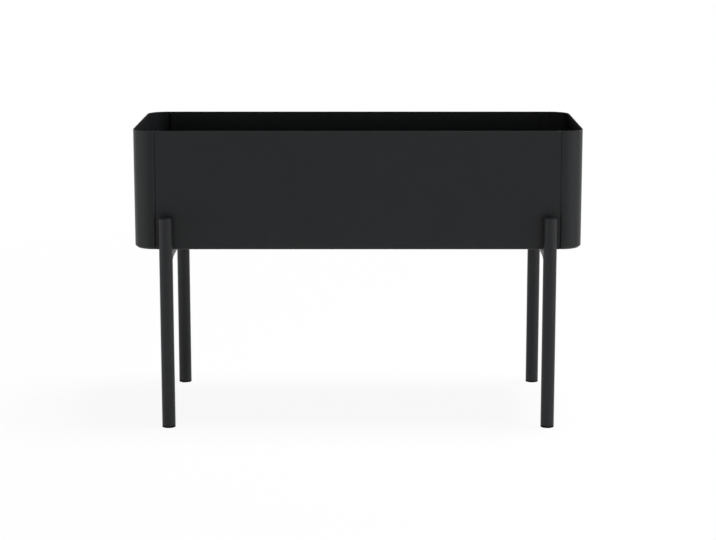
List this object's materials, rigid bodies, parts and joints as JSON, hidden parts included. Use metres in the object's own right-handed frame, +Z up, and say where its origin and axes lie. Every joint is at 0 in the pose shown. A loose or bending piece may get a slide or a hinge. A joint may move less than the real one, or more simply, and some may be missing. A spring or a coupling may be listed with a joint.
{
  "type": "raised planter",
  "caption": "Long open planter box of folded sheet metal with rounded upright corners, raised on two welded tube frames whose round legs lap the box and stand on plastic glides.",
  "frame": {"origin": "on the floor, under the middle of the box", "axes": "+X to the right along the front, +Y towards the back, +Z up"},
  "size_m": [1, 0.4624, 0.667],
  "materials": {
    "powder_coat": "fine matt anthracite powder coat",
    "glide_plastic": "moulded black plastic",
    "zinc_steel": "zinc plated",
    "washer_rubber": "black sealing rubber"
  },
  "bodies": {
    "root": {"back_left_foot_glide": "glide_plastic", "back_left_leg": "powder_coat", "back_left_leg_disc": "powder_coat", "back_right_foot_glide": "glide_plastic", "back_right_leg": "powder_coat", "back_right_leg_disc": "powder_coat", "floor_nuts": "zinc_steel", "floor_studs": "zinc_steel", "front_left_foot_glide": "glide_plastic", "front_left_leg": "powder_coat", "front_left_leg_disc": "powder_coat", "front_right_foot_glide": "glide_plastic", "front_right_leg": "powder_coat", "front_right_leg_disc": "powder_coat", "left_cross_tube": "powder_coat", "left_end_cap": "powder_coat", "leg_rivet_nuts": "zinc_steel", "leg_screws": "zinc_steel", "leg_washers": "washer_rubber", "right_cross_tube": "powder_coat", "right_end_cap": "powder_coat", "seam_nuts": "zinc_steel", "seam_studs": "zinc_steel", "trough": "powder_coat"}
  },
  "joints": []
}
